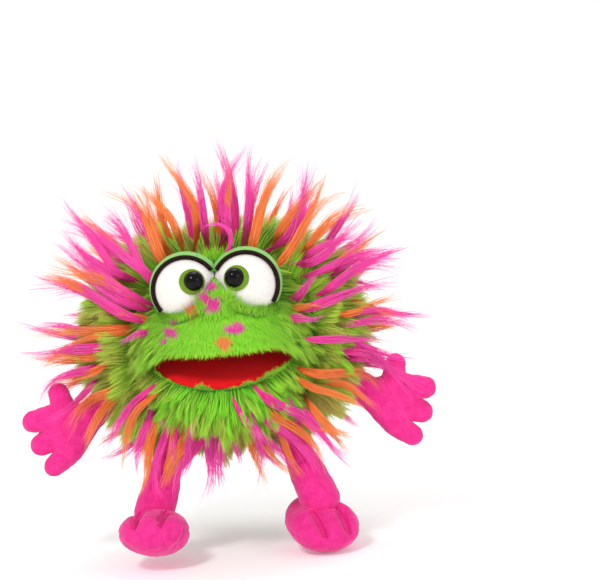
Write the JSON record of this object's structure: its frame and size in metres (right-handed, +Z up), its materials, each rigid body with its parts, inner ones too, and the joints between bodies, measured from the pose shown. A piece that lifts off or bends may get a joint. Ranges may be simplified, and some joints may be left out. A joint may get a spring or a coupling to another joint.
{
  "type": "moving mouth puppet",
  "caption": "Furry round hand puppet with a hinged mouth, domed felt eyes, long coloured tufts, swinging stuffed arms and legs, and a lined opening for a hand.",
  "frame": {"origin": "centre of the round hem that closes the hand opening, on the underside of the body", "axes": "+Z up, out of the top of the head; the face looks along -Y; +X towards the puppet's own left hand"},
  "size_m": [0.2733, 0.1605, 0.2562],
  "materials": {
    "green_fur": "long pile",
    "padding": "loose fibre",
    "foam": "open cell foam",
    "lining_cloth": "plain weave",
    "hem_band": "folded tape",
    "fold_cord": "piped cord",
    "pink_tufts": "long pile",
    "orange_tufts": "long pile",
    "red_felt": "felt",
    "stiffener": "matt board",
    "white_felt": "felt",
    "stuffing": "loose fibre",
    "green_felt": "felt",
    "black_cord": "piped cord",
    "olive_felt": "felt",
    "black_gloss": "polished",
    "washer": "moulded",
    "pink_plush": "short plush",
    "pink_thread": "thread"
  },
  "bodies": {
    "torso": {"body_fur": "green_fur", "body_padding": "padding", "sleeve_lining": "lining_cloth", "sleeve_hem": "hem_band", "mouth_fold_cord": "fold_cord", "body_tufts_pink": "pink_tufts", "body_tufts_orange": "orange_tufts"},
    "upper_jaw": {"head_fur": "green_fur", "head_foam": "foam", "palate_lining": "red_felt", "palate_board": "stiffener", "finger_pocket": "lining_cloth", "head_tufts_pink": "pink_tufts", "head_tufts_orange": "orange_tufts", "left_eye_felt": "white_felt", "left_eye_stuffing": "stuffing", "left_eyelid": "green_felt", "left_lid_cord": "black_cord", "left_iris": "olive_felt", "left_pupil": "black_gloss", "left_pupil_washer": "washer", "right_eye_felt": "white_felt", "right_eye_stuffing": "stuffing", "right_eyelid": "green_felt", "right_lid_cord": "black_cord", "right_iris": "olive_felt", "right_pupil": "black_gloss", "right_pupil_washer": "washer"},
    "lower_jaw": {"jaw_fur": "green_fur", "jaw_foam": "foam", "mouth_floor_lining": "red_felt", "jaw_board": "stiffener", "thumb_pocket": "lining_cloth", "jaw_tufts_pink": "pink_tufts", "jaw_tufts_orange": "orange_tufts"},
    "left_arm": {"left_arm_front_panel": "pink_plush", "left_arm_back_panel": "pink_plush", "left_arm_stuffing": "stuffing"},
    "left_leg": {"left_leg_front_panel": "pink_plush", "left_leg_back_panel": "pink_plush", "left_leg_stuffing": "stuffing"},
    "left_foot": {"left_foot_upper": "pink_plush", "left_foot_sole": "pink_plush", "left_foot_stuffing": "stuffing", "left_toe_stitches": "pink_thread"},
    "right_arm": {"right_arm_front_panel": "pink_plush", "right_arm_back_panel": "pink_plush", "right_arm_stuffing": "stuffing"},
    "right_leg": {"right_leg_front_panel": "pink_plush", "right_leg_back_panel": "pink_plush", "right_leg_stuffing": "stuffing"},
    "right_foot": {"right_foot_upper": "pink_plush", "right_foot_sole": "pink_plush", "right_foot_stuffing": "stuffing", "right_toe_stitches": "pink_thread"}
  },
  "joints": [
    {"name": "upper_jaw_hinge", "type": "hinge", "parent": "torso", "child": "upper_jaw", "pos_m": [0, -0.038, 0.053], "axis": [-1, 0, 0], "range_deg": [-2, 20], "stiffness_Nm_per_rad": 0.12},
    {"name": "lower_jaw_hinge", "type": "hinge", "parent": "torso", "child": "lower_jaw", "pos_m": [0, -0.038, 0.053], "axis": [1, 0, 0], "range_deg": [-19, 16], "stiffness_Nm_per_rad": 0.12},
    {"name": "left_shoulder", "type": "hinge", "parent": "torso", "child": "left_arm", "pos_m": [0.073, -0.03, 0.027], "axis": [0, -1, 0], "range_deg": [-10, 70], "stiffness_Nm_per_rad": 0.05},
    {"name": "right_shoulder", "type": "hinge", "parent": "torso", "child": "right_arm", "pos_m": [-0.073, -0.03, 0.027], "axis": [0, 1, 0], "range_deg": [-10, 70], "stiffness_Nm_per_rad": 0.05},
    {"name": "left_hip", "type": "hinge", "parent": "torso", "child": "left_leg", "pos_m": [0.033, -0.05, 0.005], "axis": [-1, 0, 0], "range_deg": [-8, 40], "stiffness_Nm_per_rad": 0.05},
    {"name": "right_hip", "type": "hinge", "parent": "torso", "child": "right_leg", "pos_m": [-0.033, -0.05, 0.005], "axis": [-1, 0, 0], "range_deg": [-8, 40], "stiffness_Nm_per_rad": 0.05},
    {"name": "left_ankle", "type": "hinge", "parent": "left_leg", "child": "left_foot", "pos_m": [0.04908, -0.05, -0.03917], "axis": [-0.9135, -0.4067, 0], "range_deg": [-20, 20], "stiffness_Nm_per_rad": 0.03},
    {"name": "right_ankle", "type": "hinge", "parent": "right_leg", "child": "right_foot", "pos_m": [-0.04908, -0.05, -0.03917], "axis": [-0.9903, 0.1392, 0], "range_deg": [-20, 20], "stiffness_Nm_per_rad": 0.03}
  ]
}
